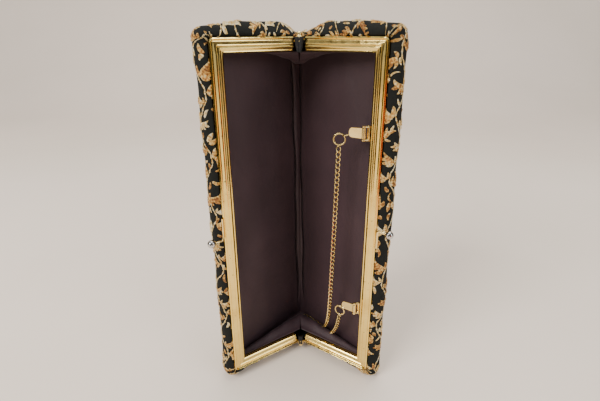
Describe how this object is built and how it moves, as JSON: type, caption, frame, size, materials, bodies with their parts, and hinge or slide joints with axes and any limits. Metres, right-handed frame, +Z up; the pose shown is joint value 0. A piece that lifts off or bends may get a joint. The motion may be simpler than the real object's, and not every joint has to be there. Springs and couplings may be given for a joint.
{
  "type": "clutch purse",
  "caption": "Hinged double-frame clutch purse in brocade, shown open on its short end, with a kiss-lock clasp and a drop-in chain handle.",
  "frame": {"origin": "middle of the purse's footprint, on the surface it stands on", "axes": "+Z up along the hinge axis and the purse's length, -Y out of the open mouth, +X to the half that carries the chain"},
  "size_m": [0.1184, 0.079, 0.241],
  "materials": {
    "gold_metal": "polished gold plate",
    "chain_metal": "polished gold plate, diamond-cut curb links",
    "silver_ball": "bright nickel",
    "brocade": "near-black ground with raised gold, cream and copper metallic leaves",
    "lining_cloth": "fine-ribbed dark aubergine faille",
    "wadding": "cotton wadding",
    "board": "buckram-covered card",
    "paper_cord": "twisted paper cord"
  },
  "bodies": {
    "right_half": {"frame_right": "gold_metal", "hinge_plate_right_top": "gold_metal", "hinge_plate_right_bottom": "gold_metal", "hinge_rivet_top": "gold_metal", "hinge_rivet_bottom": "gold_metal", "hinge_washer_top": "gold_metal", "hinge_washer_bottom": "gold_metal", "clasp_arm_right": "gold_metal", "upper_clip_bracket": "gold_metal", "upper_clip_pin": "gold_metal", "lower_clip_bracket": "gold_metal", "lower_clip_pin": "gold_metal", "clasp_ball_right": "silver_ball", "brocade_cover_right": "brocade", "spine_cover": "brocade", "gusset_cover_top": "brocade", "gusset_cover_bottom": "brocade", "lining_right": "lining_cloth", "spine_lining": "lining_cloth", "gusset_lining_top": "lining_cloth", "gusset_lining_bottom": "lining_cloth", "wadding_right": "wadding", "stiffener_board_right": "board", "packing_cord_right": "paper_cord"},
    "left_half": {"frame_left": "gold_metal", "packing_cord_left": "paper_cord", "brocade_cover_left": "brocade", "wadding_left": "wadding", "stiffener_board_left": "board", "lining_left": "lining_cloth", "clasp_arm_left": "gold_metal", "clasp_ball_left": "silver_ball", "hinge_plate_left_top": "gold_metal", "hinge_plate_left_bottom": "gold_metal"},
    "handle": {"upper_clip_tab": "gold_metal", "upper_clip_ring": "gold_metal", "lower_clip_tab": "gold_metal", "lower_clip_ring": "gold_metal", "chain": "chain_metal"}
  },
  "joints": [
    {"name": "frame_hinge", "type": "hinge", "parent": "right_half", "child": "left_half", "pos_m": [0, 0.00025, 0.1205], "axis": [0, 0, 1], "range_deg": [0, 112], "deforming": ["spine_cover", "spine_lining", "gusset_cover_top", "gusset_cover_bottom", "gusset_lining_top", "gusset_lining_bottom"]},
    {"name": "handle_swing", "type": "hinge", "parent": "right_half", "child": "handle", "pos_m": [0.03698, -0.02469, 0.1205], "axis": [0, 0, 1], "range_deg": [0, 180], "deforming": ["chain"]}
  ]
}
